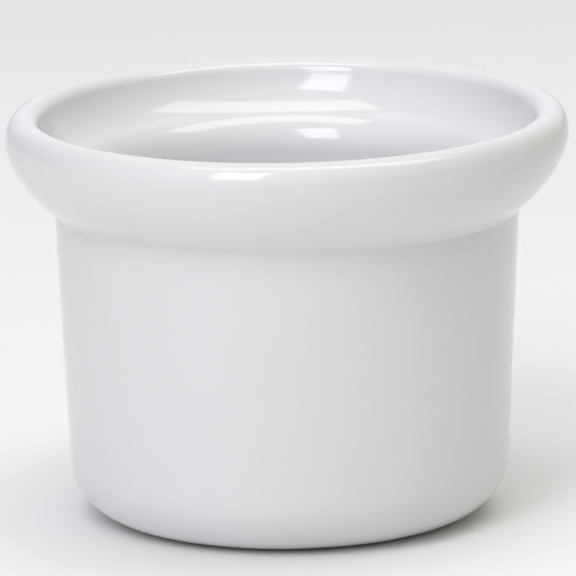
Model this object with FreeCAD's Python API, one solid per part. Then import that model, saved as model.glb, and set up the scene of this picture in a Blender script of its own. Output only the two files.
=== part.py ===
import FreeCAD, Part
import math
import os

# Glazed porcelain bowl, in millimetres. +Z is up along the axis of the bowl, and the origin is the
# centre of the surface that it stands on. Every piece is one section turned about that axis.
#
# The sizes are those of the finished, glazed surface, and angles are in degrees. The clay body is
# the finished shape less its glaze, and only its foot ring is bare.

# Overall
bowl_height = 62.4           # standing surface to the crown of the lip
rim_radius = 42.8            # widest point of the collar
base_radius = 32.9           # straight side, carried down to the standing surface
side_draft = 2.8             # lean of the straight side from the upright
wall_thickness = 5.5         # of the straight side, square to it
glaze_thickness = 0.25

# Lip and outside of the collar
lip_radius = 2.5             # round bead along the crown
lip_start_angle = 29.0       # between level and the normal where the collar's edge runs into it
edge_radius = 5.3            # full round edge of the collar, outside the bead
under_edge_angle = 18.0      # turned through by it below its widest point
collar_end_angle = 56.7      # between level and the normal at the bottom of the collar's bow
collar_fillet = 1.25         # hollow where the bow meets the side

# Inside of the mouth, from the lip down
lip_end_angle = 18.0         # between level and the normal where the bead runs into the hollow
shoulder_angle = 57.0        # between level and the normal of the shoulder
shoulder_straight = 0.5      # flat stretch between the hollow and the rounding
shoulder_radius = 6.5        # rounding from the shoulder into the well
well_corner_radius = 8.0

# Base and foot
base_corner_radius = 9.0
foot_stand_off = 0.2         # glazed base above the standing surface
foot_ring_width = 3.0
foot_edge_radius = 0.25
recess_depth = 1.2           # hollow inside the foot ring
recess_corner_radius = 0.6
floor_thickness = 4.0        # ceiling of the recess to the floor of the well
bare_margin = 1.0            # clay without glaze on each side of the foot ring


def point(radius, height):
    """A place in the section, which lies in the XZ plane."""
    return FreeCAD.Vector(radius, 0, height)


def direction(angle):
    """Unit vector in the section, turned up from the outward radius."""
    turn = math.radians(angle)
    return point(math.cos(turn), math.sin(turn))


def bend(centre, radius, start, end):
    """Round stretch between two directions seen from its centre."""
    angles = (start, (start + end) / 2, end)
    return Part.Arc(*[centre + direction(a) * radius for a in angles])


def straight(here, there):
    """One straight edge, or none where the two points meet."""
    if here.isEqual(there, 1e-6):
        return []
    return [Part.makeLine(here, there)]


def run(start, bends, end):
    """Edges from one point to another through the bends, straight in between."""
    edges = []
    here = start
    for stretch in bends:
        edges += straight(here, stretch.StartPoint)
        edges.append(stretch.toShape())
        here = stretch.EndPoint
    return edges + straight(here, end)


def turned(edges):
    """Solid of revolution of the closed section that the edges bound."""
    section = Part.Face(Part.Wire(Part.__sortEdges__(edges)))
    return section.revolve(point(0, 0), FreeCAD.Vector(0, 0, 1), 360)


# The straight side is the line that the base corner, the collar and the well are set out from.
up_the_side = direction(90 - side_draft)
out_of_side = direction(-side_draft)


def beside(distance, height):
    """Point at a height and a distance outside the straight side."""
    draft = math.radians(side_draft)
    return point(base_radius + height * math.tan(draft) + distance / math.cos(draft), height)


def depth(place):
    """How far a point lies inside the straight side."""
    return (point(base_radius, 0) - place).dot(out_of_side)


def collar_and_fillet():
    """Radius and centre of the collar's bow, and centre of the fillet from it to the side.

    The bow is as large as brings the fillet to the straight side.
    """
    into_bow = direction(-under_edge_angle)
    out_of_bow = direction(-collar_end_angle)
    start = edge + into_bow * edge_radius
    fillet = start + out_of_bow * collar_fillet
    still_to_go = -collar_fillet - depth(fillet)
    across = into_bow - out_of_bow
    radius = still_to_go / across.dot(out_of_side)
    return radius, start - into_bow * radius, fillet - across * radius


def hollow_and_shoulder():
    """Radius and centre of the mouth's hollow, and centre of the rounding into the well.

    The hollow is as large as brings that rounding to the wall of the well.
    """
    into_hollow = direction(180 - lip_end_angle)
    out_of_hollow = direction(-shoulder_angle)
    down_shoulder = direction(270 - shoulder_angle)
    start = lip + into_hollow * lip_radius
    shoulder = start + down_shoulder * shoulder_straight + out_of_hollow * shoulder_radius
    still_to_go = wall_thickness - shoulder_radius - depth(shoulder)
    across = into_hollow + out_of_hollow
    radius = -still_to_go / across.dot(out_of_side)
    return radius, start + into_hollow * radius, shoulder + across * radius


base_corner = beside(-base_corner_radius, foot_stand_off + base_corner_radius)
lip_to_edge = direction(lip_start_angle) * (lip_radius - edge_radius)
lip = point(rim_radius - edge_radius - lip_to_edge.x, bowl_height - lip_radius)
edge = lip + lip_to_edge
collar_radius, collar, fillet = collar_and_fillet()
hollow_radius, hollow, shoulder = hollow_and_shoulder()
well_floor = recess_depth + floor_thickness
well_corner = beside(-wall_thickness - well_corner_radius, well_floor + well_corner_radius)
foot_outer = base_corner.x
foot_inner = foot_outer - foot_ring_width


def surface(inset, margin):
    """Bends of the bowl's surface from outside the foot, over the lip and down to the floor.

    They lie inside the finished surface by the inset, and start a margin outside the foot ring.
    """
    base_start = math.degrees(math.acos(margin / (base_corner_radius - inset)))
    return [
        bend(base_corner, base_corner_radius - inset, -base_start, -side_draft),
        bend(fillet, collar_fillet + inset, 180 - side_draft, 180 - collar_end_angle),
        bend(collar, collar_radius - inset, -collar_end_angle, -under_edge_angle),
        bend(edge, edge_radius - inset, -under_edge_angle, lip_start_angle),
        bend(lip, lip_radius - inset, lip_start_angle, 180 - lip_end_angle),
        bend(hollow, hollow_radius + inset, -lip_end_angle, -shoulder_angle),
        bend(shoulder, shoulder_radius - inset, 180 - shoulder_angle, 180 - side_draft),
        bend(well_corner, well_corner_radius + inset, -side_draft, -90),
    ]


def foot():
    """Bends of the recess's corner and of the two edges of the foot ring."""
    recess = point(foot_inner - recess_corner_radius, recess_depth - recess_corner_radius)
    inner_edge = point(foot_inner + foot_edge_radius, foot_edge_radius)
    outer_edge = point(foot_outer - foot_edge_radius, foot_edge_radius)
    return [
        bend(recess, recess_corner_radius, 90, 0),
        bend(inner_edge, foot_edge_radius, 180, 270),
        bend(outer_edge, foot_edge_radius, 270, 360),
    ]


def porcelain_body():
    """Clay body: floor, side, collar and lip in one, standing on its bare foot ring."""
    ceiling = point(0, recess_depth)
    floor = point(0, well_floor - glaze_thickness)
    bends = foot() + surface(glaze_thickness, 0)
    return turned(run(ceiling, bends, floor) + straight(floor, ceiling))


def glaze_coat():
    """Glaze from just outside the foot ring, up over the lip and across the floor of the well."""
    top = surface(0, bare_margin)
    underside = surface(glaze_thickness, bare_margin)
    top_end = point(0, well_floor)
    underside_end = point(0, well_floor - glaze_thickness)
    edges = run(top[0].StartPoint, top, top_end)
    edges += run(underside[0].StartPoint, underside, underside_end)
    edges += straight(top[0].StartPoint, underside[0].StartPoint)
    return turned(edges + straight(top_end, underside_end))


def recess_glaze():
    """Disc of glaze on the ceiling of the recess, inside the foot ring."""
    return Part.makeCylinder(
        foot_inner - bare_margin, glaze_thickness, point(0, recess_depth - glaze_thickness)
    )


os.makedirs("parts", exist_ok=True)
for piece in (porcelain_body, glaze_coat, recess_glaze):
    piece().exportStep(f"parts/{piece.__name__}.step")
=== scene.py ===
import math

import bpy
from mathutils import Matrix, Vector, noise


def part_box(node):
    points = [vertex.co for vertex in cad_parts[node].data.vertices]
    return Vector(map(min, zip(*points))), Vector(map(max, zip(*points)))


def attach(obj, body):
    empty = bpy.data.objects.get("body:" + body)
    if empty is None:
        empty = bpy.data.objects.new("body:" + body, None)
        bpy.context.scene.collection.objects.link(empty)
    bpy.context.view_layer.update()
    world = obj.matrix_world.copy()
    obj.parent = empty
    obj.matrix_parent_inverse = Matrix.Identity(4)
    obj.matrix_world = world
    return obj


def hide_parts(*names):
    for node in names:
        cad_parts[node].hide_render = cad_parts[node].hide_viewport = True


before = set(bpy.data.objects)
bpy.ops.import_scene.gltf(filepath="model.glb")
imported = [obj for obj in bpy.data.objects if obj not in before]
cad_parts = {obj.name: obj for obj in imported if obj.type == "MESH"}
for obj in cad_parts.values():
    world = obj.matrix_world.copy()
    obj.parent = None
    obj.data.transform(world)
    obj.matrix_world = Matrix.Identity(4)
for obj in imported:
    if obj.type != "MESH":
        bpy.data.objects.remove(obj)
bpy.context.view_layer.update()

# Sizes are in metres and angles in degrees. The bowl stands on z = 0 with its axis on Z, and the
# viewer is on the -Y side.
MM = 0.001

# Overall, from the frame
bowl_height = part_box("glaze_coat")[1].z
rim_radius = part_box("glaze_coat")[1].x
recess_glaze_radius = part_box("recess_glaze")[1].x
recess_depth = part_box("recess_glaze")[1].z
glaze_thickness = recess_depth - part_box("recess_glaze")[0].z

# Side, collar and lip of the glazed surface
base_radius = 32.9 * MM
side_draft = 2.8
wall_thickness = 5.5 * MM
lip_radius = 2.5 * MM
lip_start_angle = 29.0
edge_radius = 5.3 * MM
under_edge_angle = 18.0
collar_end_angle = 56.7
collar_fillet = 1.25 * MM

# Inside of the mouth and the well
lip_end_angle = 18.0
shoulder_angle = 57.0
shoulder_straight = 0.5 * MM
shoulder_radius = 6.5 * MM
well_corner_radius = 8.0 * MM
floor_thickness = 4.0 * MM

# Base and foot
base_corner_radius = 9.0 * MM
foot_stand_off = 0.2 * MM
foot_ring_width = 3.0 * MM
foot_edge_radius = 0.25 * MM
recess_corner_radius = 0.6 * MM
bare_margin = 1.0 * MM

SEGMENTS = 256               # facets round the axis
FINE = 0.6 * MM              # longest step along a bend of the glaze's face
HIDDEN = 1.2 * MM            # the same where clay and glaze meet
TURN = 6                     # most degrees in a step of FINE, and in proportion for other steps
TOUCHING = 1e-7              # stretches closer than this share a point


# ---- The section, in the half plane of radius and height -------------------------------------


def direction(angle):
    """Unit vector in the section, turned up from the outward radius."""
    turn = math.radians(angle)
    return Vector((math.cos(turn), math.sin(turn)))


def bend(centre, radius, start, end, step):
    """Points along a round stretch between two directions seen from its centre."""
    length = radius * math.radians(abs(end - start))
    count = math.ceil(max(length / step, abs(end - start) * FINE / step / TURN))
    return [centre + direction(start + (end - start) * i / count) * radius for i in range(count + 1)]


def joined(stretches, step):
    """One line of points through the stretches, with even steps along the straight runs."""
    line = list(stretches[0])
    for stretch in stretches[1:]:
        gap = stretch[0] - line[-1]
        count = math.ceil(gap.length / (2 * step))
        line += [line[-1] + gap * (i / count) for i in range(1, count)]
        line += stretch if gap.length > TOUCHING else stretch[1:]
    return line


out_of_side = direction(-side_draft)
up_the_side = direction(90 - side_draft)


def beside(distance, height):
    """Point at a height and a distance outside the straight side."""
    draft = math.radians(side_draft)
    return Vector((base_radius + height * math.tan(draft) + distance / math.cos(draft), height))


def depth(place):
    """How far a point lies inside the straight side."""
    return (Vector((base_radius, 0)) - place).dot(out_of_side)


lip_to_edge = direction(lip_start_angle) * (lip_radius - edge_radius)
lip = Vector((rim_radius - edge_radius - lip_to_edge.x, bowl_height - lip_radius))
edge = lip + lip_to_edge

into_bow = direction(-under_edge_angle)
out_of_bow = direction(-collar_end_angle)
collar = edge + into_bow * edge_radius
fillet = collar + out_of_bow * collar_fillet
still_to_go = -collar_fillet - depth(fillet)
collar_radius = still_to_go / (into_bow - out_of_bow).dot(out_of_side)
collar = collar - into_bow * collar_radius
fillet = fillet + (out_of_bow - into_bow) * collar_radius

into_hollow = direction(180 - lip_end_angle)
out_of_hollow = direction(-shoulder_angle)
down_shoulder = direction(270 - shoulder_angle)
hollow = lip + into_hollow * lip_radius
shoulder = hollow + down_shoulder * shoulder_straight + out_of_hollow * shoulder_radius
still_to_go = wall_thickness - shoulder_radius - depth(shoulder)
hollow_radius = -still_to_go / (into_hollow + out_of_hollow).dot(out_of_side)
hollow = hollow + into_hollow * hollow_radius
shoulder = shoulder + (into_hollow + out_of_hollow) * hollow_radius

well_floor = recess_depth + floor_thickness
well_corner = beside(-wall_thickness - well_corner_radius, well_floor + well_corner_radius)
base_corner = beside(-base_corner_radius, foot_stand_off + base_corner_radius)
foot_outer = base_corner.x
foot_inner = foot_outer - foot_ring_width

# Where the glaze collects, under the collar and in the corner of the well, and where it thins
under_collar = fillet - out_of_side * collar_fillet
well_bend = well_corner + direction(-45) * well_corner_radius
crown = Vector((lip.x, bowl_height))


def surface(inset, margin, step):
    """Stretches from outside the foot, over the lip and down to the middle of the well's floor."""
    base_start = math.degrees(math.acos(margin / (base_corner_radius - inset)))
    return [
        bend(base_corner, base_corner_radius - inset, -base_start, -side_draft, step),
        bend(fillet, collar_fillet + inset, 180 - side_draft, 180 - collar_end_angle, step),
        bend(collar, collar_radius - inset, -collar_end_angle, -under_edge_angle, step),
        bend(edge, edge_radius - inset, -under_edge_angle, lip_start_angle, step),
        bend(lip, lip_radius - inset, lip_start_angle, 180 - lip_end_angle, step),
        bend(hollow, hollow_radius + inset, -lip_end_angle, -shoulder_angle, step),
        bend(shoulder, shoulder_radius - inset, 180 - shoulder_angle, 180 - side_draft, step),
        bend(well_corner, well_corner_radius + inset, -side_draft, -90, step),
        [Vector((0, well_floor - inset))],
    ]


def foot(step):
    """Stretches of the recess and of the bare foot ring's two worn edges."""
    recess = Vector((foot_inner - recess_corner_radius, recess_depth - recess_corner_radius))
    inner_edge = Vector((foot_inner + foot_edge_radius, foot_edge_radius))
    outer_edge = Vector((foot_outer - foot_edge_radius, foot_edge_radius))
    return [
        [Vector((0, recess_depth))],
        bend(recess, recess_corner_radius, 90, 0, step),
        bend(inner_edge, foot_edge_radius, 180, 270, step),
        bend(outer_edge, foot_edge_radius, 270, 360, step),
    ]


# ---- Turning the section, and what the kiln does to it ---------------------------------------


def turned(name, line):
    """Closed mesh turned about the axis from a line that starts and ends on it."""
    around = [2 * math.pi * i / SEGMENTS for i in range(SEGMENTS)]
    points = [(0, 0, line[0].y)]
    for place in line[1:-1]:
        points += [(place.x * math.cos(a), place.x * math.sin(a), place.y) for a in around]
    points.append((0, 0, line[-1].y))
    last = len(points) - 1
    faces = []
    for i in range(SEGMENTS):
        j = (i + 1) % SEGMENTS
        faces.append((0, 1 + j, 1 + i))
        for ring in range(1, last - SEGMENTS, SEGMENTS):
            faces.append((ring + i, ring + j, ring + SEGMENTS + j, ring + SEGMENTS + i))
        faces.append((last, last - SEGMENTS + i, last - SEGMENTS + j))
    mesh = bpy.data.meshes.new(name)
    mesh.from_pydata(points, [], faces)
    mesh.shade_smooth()
    piece = bpy.data.objects.new(name, mesh)
    bpy.context.collection.objects.link(piece)
    return piece


def ring_mask(co, ring, width):
    """1 on the circle that a point of the section turns through, falling to 0 at the width."""
    away = (Vector((math.hypot(co.x, co.y), co.z)) - ring).length / width
    return max(0.0, 1 - away * away) ** 2


RIM_LEAN = 0.2 * MM          # the rim is lower by twice this on the left
RIM_SHIFT = 0.28 * MM        # it has crept to the right and shrunk by as much
OVALITY = 0.1 * MM           # and is narrower than it is wide by four times this
SLOW_RIPPLE = 14 * MM        # size of the glaze's broad ripples
QUICK_RIPPLE = 4.5 * MM      # and of the small ones on them
BASE_ZONE = 2 * MM           # the glaze's edge wanders below this height
EDGE_REACH = 4 * MM          # and within this distance of its line


def fired(co):
    """Where a point ends up when the rim leans, creeps and goes a little oval in the kiln."""
    rise = (co.z / bowl_height) ** 3
    round_the_rim = math.atan2(co.y, co.x)
    pinch = (RIM_SHIFT + OVALITY * (1 - math.cos(2 * round_the_rim))) * rise / rim_radius
    lean = RIM_LEAN * (co.x / rim_radius - 1) * rise
    return Vector((co.x * (1 - pinch) + RIM_SHIFT * rise, co.y * (1 - pinch), co.z + lean))


def glaze_depth(co):
    """Extra glaze at a point: it runs into hollows, thins on the lip and ripples as it sets."""
    pooled = 0.1 * MM * ring_mask(co, under_collar, 2.4 * MM)
    pooled += 0.1 * MM * ring_mask(co, well_bend, 9 * MM)
    thinned = 0.05 * MM * ring_mask(co, crown, 2.5 * MM)
    slow = noise.noise(co / SLOW_RIPPLE) * 0.03 * MM
    quick = noise.noise(co / QUICK_RIPPLE + Vector((5, 3, 1))) * 0.006 * MM
    return pooled - thinned + slow + quick - 0.03 * MM


def shape_glaze(piece, face_start):
    """Gives the glaze its uneven face, and its edge above the foot ring a wandering line."""
    glaze_line = foot_outer + bare_margin
    normals = [corner.vector.copy() for corner in piece.data.vertex_normals]
    places = []
    for index, (vertex, normal) in enumerate(zip(piece.data.vertices, normals)):
        co = vertex.co.copy()
        radius = math.hypot(co.x, co.y)
        if index >= face_start:
            co += normal * glaze_depth(co)
        if co.z < BASE_ZONE and radius > foot_inner:
            outward = Vector((co.x, co.y, 0)) / radius
            near = max(0.0, 1 - (radius - glaze_line) / EDGE_REACH)
            co += outward * noise.noise(outward * 4) * 0.35 * MM * near
        places.extend(co)
    piece.data.vertices.foreach_set("co", places)


def shape_all(piece):
    """Moves every vertex of a piece as firing moves the bowl."""
    places = [number for vertex in piece.data.vertices for number in fired(vertex.co)]
    piece.data.vertices.foreach_set("co", places)
    piece.data.update()


# ---- Shader arithmetic ------------------------------------------------------------------------


class Wire:
    """A shader socket that takes arithmetic: each operation adds the node that does it."""

    def __init__(self, tree, socket=None):
        self.tree = tree
        self.socket = socket

    def node(self, kind, settings, values, output=0):
        """A new node of a kind: its settings first, then its sockets. Gives one of its outputs."""
        made = self.tree.nodes.new(kind)
        for name, setting in settings.items():
            setattr(made, name, setting)
        for name, value in values.items():
            plug(made.inputs[name], value)
        return Wire(self.tree, made.outputs[output])

    def math(self, operation, *values):
        return self.node("ShaderNodeMath", {"operation": operation}, dict(enumerate(values)))

    def __add__(self, other):
        return self.math("ADD", self, other)

    def __sub__(self, other):
        return self.math("SUBTRACT", self, other)

    def __rsub__(self, other):
        return self.math("SUBTRACT", other, self)

    def __mul__(self, other):
        return self.math("MULTIPLY", self, other)

    def __pow__(self, power):
        return self.math("POWER", self, power)

    __radd__ = __add__
    __rmul__ = __mul__

    def between(self, low, high):
        """0 below low, 1 above high, and a smooth rise between them."""
        ends = {"Value": self, "From Min": low, "From Max": high}
        return self.node("ShaderNodeMapRange", {"interpolation_type": "SMOOTHSTEP"}, ends)

    def mixed(self, colour, other):
        """The first colour where this value is 0 and the other where it is 1."""
        settings = {"data_type": "RGBA"}
        return self.node("ShaderNodeMix", settings, {"Factor": self, 6: colour, 7: other}, 2)


def plug(socket, value):
    """Links or sets one socket."""
    if isinstance(value, Wire):
        value.tree.links.new(value.socket, socket)
    else:
        socket.default_value = value


def finish_of(name):
    """A new material's shader, and the place on the bowl as a wire."""
    material = bpy.data.materials.new(name)
    material.use_nodes = True
    tree = material.node_tree
    place = Wire(tree).node("ShaderNodeTexCoord", {}, {}, "Object")
    return material, tree.nodes["Principled BSDF"].inputs, place


def grain(place, size, detail, output="Fac"):
    """Even noise with features of a size."""
    values = {"Vector": place, "Scale": 1 / size, "Detail": detail}
    return place.node("ShaderNodeTexNoise", {}, values, output)


def height_of(place):
    """The height of a place above the floor."""
    return place.node("ShaderNodeSeparateXYZ", {}, {"Vector": place}, "Z")


def radius_of(place):
    """The distance of a place from the axis."""
    flat = place.node("ShaderNodeVectorMath", {"operation": "MULTIPLY"}, {0: place, 1: (1, 1, 0)})
    return flat.node("ShaderNodeVectorMath", {"operation": "LENGTH"}, {0: flat}, "Value")


def ring_glow(height, radius, ring, width):
    """1 on the circle that a point of the section turns through, falling to 0 at the width."""
    across = (radius - ring.x) ** 2 + (height - ring.y) ** 2
    return 1 - across.math("SQRT", across).between(0, width)


def specks(place, spacing, size, share):
    """1 in small round specks, in a share of the cells at a spacing."""
    cells = {"Vector": place, "Scale": 1 / spacing}
    away = place.node("ShaderNodeTexVoronoi", {}, cells, "Distance")
    kind = place.node("ShaderNodeTexVoronoi", {}, cells, "Color")
    chosen = kind.node("ShaderNodeSeparateColor", {}, {"Color": kind}, "Red")
    round_speck = 1 - away.between(size / spacing * 0.5, size / spacing)
    return round_speck * chosen.math("LESS_THAN", chosen, share)


# ---- Finishes --------------------------------------------------------------------------------

GLAZE_WHITE = (0.74, 0.75, 0.765, 1)
GLAZE_DEEP = (0.69, 0.715, 0.725, 1)
GLAZE_THIN = (0.77, 0.76, 0.735, 1)
IRON_SPECK = (0.42, 0.36, 0.30, 1)
CLAY_WHITE = (0.80, 0.78, 0.73, 1)
CLAY_BUFF = (0.68, 0.65, 0.60, 1)
CLAY_RUBBED = (0.52, 0.50, 0.47, 1)


def white_glaze():
    """Clear glossy glaze over white clay: cooler where it has pooled, warmer where it is thin."""
    material, shader, place = finish_of("white_glaze")
    height, radius = height_of(place), radius_of(place)
    pooled = ring_glow(height, radius, under_collar, 4 * MM) * 0.5
    pooled = pooled + ring_glow(height, radius, well_bend, 9 * MM) * 0.4
    thin = ring_glow(height, radius, crown, 2.2 * MM) * 0.5
    cloud = grain(place, 16 * MM, 3)
    mottle = grain(place, 1.4 * MM, 2)
    body = (cloud.between(0.3, 0.7) * 0.25 + mottle * 0.08).mixed(GLAZE_WHITE, GLAZE_DEEP)
    body = thin.mixed(pooled.mixed(body, GLAZE_DEEP), GLAZE_THIN)
    iron = specks(place, 5 * MM, 0.11 * MM, 0.05)
    plug(shader["Base Color"], (iron * 0.45).mixed(body, IRON_SPECK))
    scuffs = grain(place, 0.35 * MM, 3).between(0.6, 0.8)
    plug(shader["Roughness"], 0.07 + cloud * 0.03 + scuffs * thin * 0.12 + mottle * 0.02)
    pits = specks(place, 3 * MM, 0.09 * MM, 0.12)
    relief = grain(place, 2.6 * MM, 1) * 0.7 + mottle * 0.12 - pits * 1.2
    bump = {"Height": relief, "Distance": 0.012 * MM, "Strength": 1.0}
    plug(shader["Normal"], place.node("ShaderNodeBump", {}, bump))
    shader["IOR"].default_value = 1.52
    return material


def bare_clay():
    """Matte fired clay: fine grain, and grey rubbing where the ring slides on a shelf."""
    material, shader, place = finish_of("bare_clay")
    fine = grain(place, 0.22 * MM, 3)
    coarse = grain(place, 2.5 * MM, 3)
    standing = 1 - height_of(place).between(0.02 * MM, 0.15 * MM)
    rubbed = coarse.between(0.45, 0.7) * standing * 0.6
    grains = specks(place, 0.7 * MM, 0.12 * MM, 0.2)
    colour = (fine * 0.25).mixed(CLAY_WHITE, CLAY_BUFF)
    colour = (grains * 0.35).mixed(rubbed.mixed(colour, CLAY_RUBBED), IRON_SPECK)
    plug(shader["Base Color"], colour)
    plug(shader["Roughness"], 0.82 - rubbed * 0.25 + fine * 0.08)
    bump = {"Height": fine * 0.6 + coarse * 0.4 - grains * 0.5, "Distance": 0.05 * MM, "Strength": 1.0}
    plug(shader["Normal"], place.node("ShaderNodeBump", {}, bump))
    return material


# ---- The pieces ------------------------------------------------------------------------------


def dressed(piece, material, node):
    """Finishes a piece, ties it to the frame and lets it stand for its solid."""
    shape_all(piece)
    piece.data.materials.append(material)
    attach(piece, "root")
    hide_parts(node)
    return piece


def clay_body():
    """The fired clay, which shows only on the foot ring."""
    line = joined(foot(0.1 * MM) + surface(glaze_thickness, 0, HIDDEN), HIDDEN)
    return turned("clay_body", line)


def glaze_skin():
    """The glaze on the outside, the lip and the well, with a rounded edge above the foot ring."""
    face = joined(surface(0, bare_margin, FINE), FINE)
    seat = joined(surface(glaze_thickness, bare_margin, HIDDEN), HIDDEN)
    middle = (face[0] + seat[0]) / 2
    half = (face[0] - seat[0]).length / 2
    rounding = [middle + Vector((-math.sin(a), math.cos(a))) * half for a in (0.8, 1.57, 2.35)]
    line = seat[::-1] + rounding + face
    piece = turned("glaze_skin", line)
    shape_glaze(piece, 1 + (len(seat) - 1) * SEGMENTS)
    return piece


def recess_glaze():
    """The pool of glaze inside the foot ring, with a rounded edge."""
    low = recess_depth - glaze_thickness
    rim = Vector((recess_glaze_radius - glaze_thickness, recess_depth))
    count = 12
    flat = [Vector((rim.x * i / count, low)) for i in range(count)]
    line = flat + bend(rim, glaze_thickness, -90, 0, 0.05 * MM) + [Vector((0, recess_depth))]
    return turned("recess_glaze", line)


glaze = white_glaze()
dressed(clay_body(), bare_clay(), "porcelain_body")
dressed(glaze_skin(), glaze, "glaze_coat")
dressed(recess_glaze(), glaze, "recess_glaze")


# ---- Floor, light and camera -----------------------------------------------------------------

bowl_middle = Vector((0, 0, bowl_height / 2))

# Broad glows of the surroundings: azimuth, elevation and colour
GLOWS = (
    (45, 15, (0.85, 0.845, 0.83)),
    (180, 15, (0.78, 0.82, 0.95)),
    (225, 15, (0.33, 0.30, 0.18)),
    (0, 55, (0.75, 0.75, 0.80)),
    (270, 55, (0.12, 0.11, 0.03)),
)

# Lamps: name, azimuth, elevation, distance, width and height in degrees, glow and colour
LAMPS = (
    ("key", 23, 44, 0.9, 18, 28, 5.0, (0.97, 0.96, 1)),
    ("top", 270, 83, 0.8, 21, 58, 2.85, (1, 0.985, 0.965)),
    ("high_back", 180, 62, 0.9, 50, 20, 0.54, (0.9, 0.95, 1)),
)
FLOOR_HALF = 6.0

# The viewer: how far off and how high their eye is, what they look at and the tilt of their head
VIEW_DISTANCE = 1.404
VIEW_ELEVATION = 12.82
VIEW_TILT = -0.81
EYE_LINE = Vector((0, 0, 31.2 * MM))
LOOKED_AT = Vector((0.07 * MM, 0, 34.5 * MM))


def sight(azimuth, elevation):
    """Unit vector from the bowl; azimuth 0 is towards the viewer and grows to their left."""
    a, e = math.radians(azimuth), math.radians(elevation)
    return Vector((-math.sin(a) * math.cos(e), -math.cos(a) * math.cos(e), math.sin(e)))


def facing(place, target, up="Y"):
    """Where a camera or lamp stands to look at a target."""
    turn = (target - place).to_track_quat("-Z", up).to_matrix().to_4x4()
    return Matrix.Translation(place) @ turn


def softbox(name, azimuth, elevation, distance, width, height, glow, colour):
    """Rectangular lamp aimed at the bowl; width and height are angles seen from it."""
    lamp = bpy.data.lights.new(name, "AREA")
    lamp.shape = "RECTANGLE"
    lamp.size = 2 * distance * math.tan(math.radians(width / 2))
    lamp.size_y = 2 * distance * math.tan(math.radians(height / 2))
    lamp.energy = glow * math.pi * lamp.size * lamp.size_y
    lamp.color = colour
    stand = bpy.data.objects.new(name, lamp)
    stand.matrix_world = facing(bowl_middle + sight(azimuth, elevation) * distance, bowl_middle)
    stand.visible_camera = False
    bpy.context.collection.objects.link(stand)


def pale_floor():
    """Wide pale sheet under the bowl."""
    mesh = bpy.data.meshes.new("floor")
    turns = ((-1, -1), (1, -1), (1, 1), (-1, 1))
    corners = [(x * FLOOR_HALF, y * FLOOR_HALF, 0) for x, y in turns]
    mesh.from_pydata(corners, [], [(0, 1, 2, 3)])
    sheet = bpy.data.objects.new("floor", mesh)
    bpy.context.collection.objects.link(sheet)
    material, shader, _ = finish_of("pale_paper")
    shader["Base Color"].default_value = (0.9, 0.9, 0.9, 1)
    shader["Roughness"].default_value = 0.9
    shader["Specular IOR Level"].default_value = 0.2
    mesh.materials.append(material)


def studio():
    """Soft surroundings, brighter in some directions than in others."""
    world = bpy.data.worlds.new("studio")
    world.use_nodes = True
    tree = world.node_tree
    way = Wire(tree).node("ShaderNodeTexCoord", {}, {}, "Generated")
    total = (0, 0, 0)
    for azimuth, elevation, colour in GLOWS:
        towards = {0: way, 1: sight(azimuth, elevation)}
        facing_it = way.node("ShaderNodeVectorMath", {"operation": "DOT_PRODUCT"}, towards, "Value")
        strength = facing_it.math("MAXIMUM", facing_it, 0) ** 3
        glow = way.node("ShaderNodeVectorMath", {"operation": "SCALE"}, {0: colour, "Scale": strength})
        total = way.node("ShaderNodeVectorMath", {"operation": "ADD"}, {0: total, 1: glow})
    plug(tree.nodes["Background"].inputs["Color"], total)
    bpy.context.scene.world = world
    bpy.context.scene.view_settings.view_transform = "Standard"


def viewpoint():
    """Long lens at the height of a seated viewer, very slightly tilted."""
    camera = bpy.data.objects.new("camera", bpy.data.cameras.new("camera"))
    camera.data.lens = 579.5
    camera.data.clip_end = 30
    eye = EYE_LINE + sight(0, VIEW_ELEVATION) * VIEW_DISTANCE
    tilt = Matrix.Rotation(math.radians(VIEW_TILT), 4, "Z")
    camera.matrix_world = facing(eye, LOOKED_AT) @ tilt
    bpy.context.collection.objects.link(camera)
    bpy.context.scene.camera = camera


pale_floor()
studio()
for lamp_values in LAMPS:
    softbox(*lamp_values)
viewpoint()
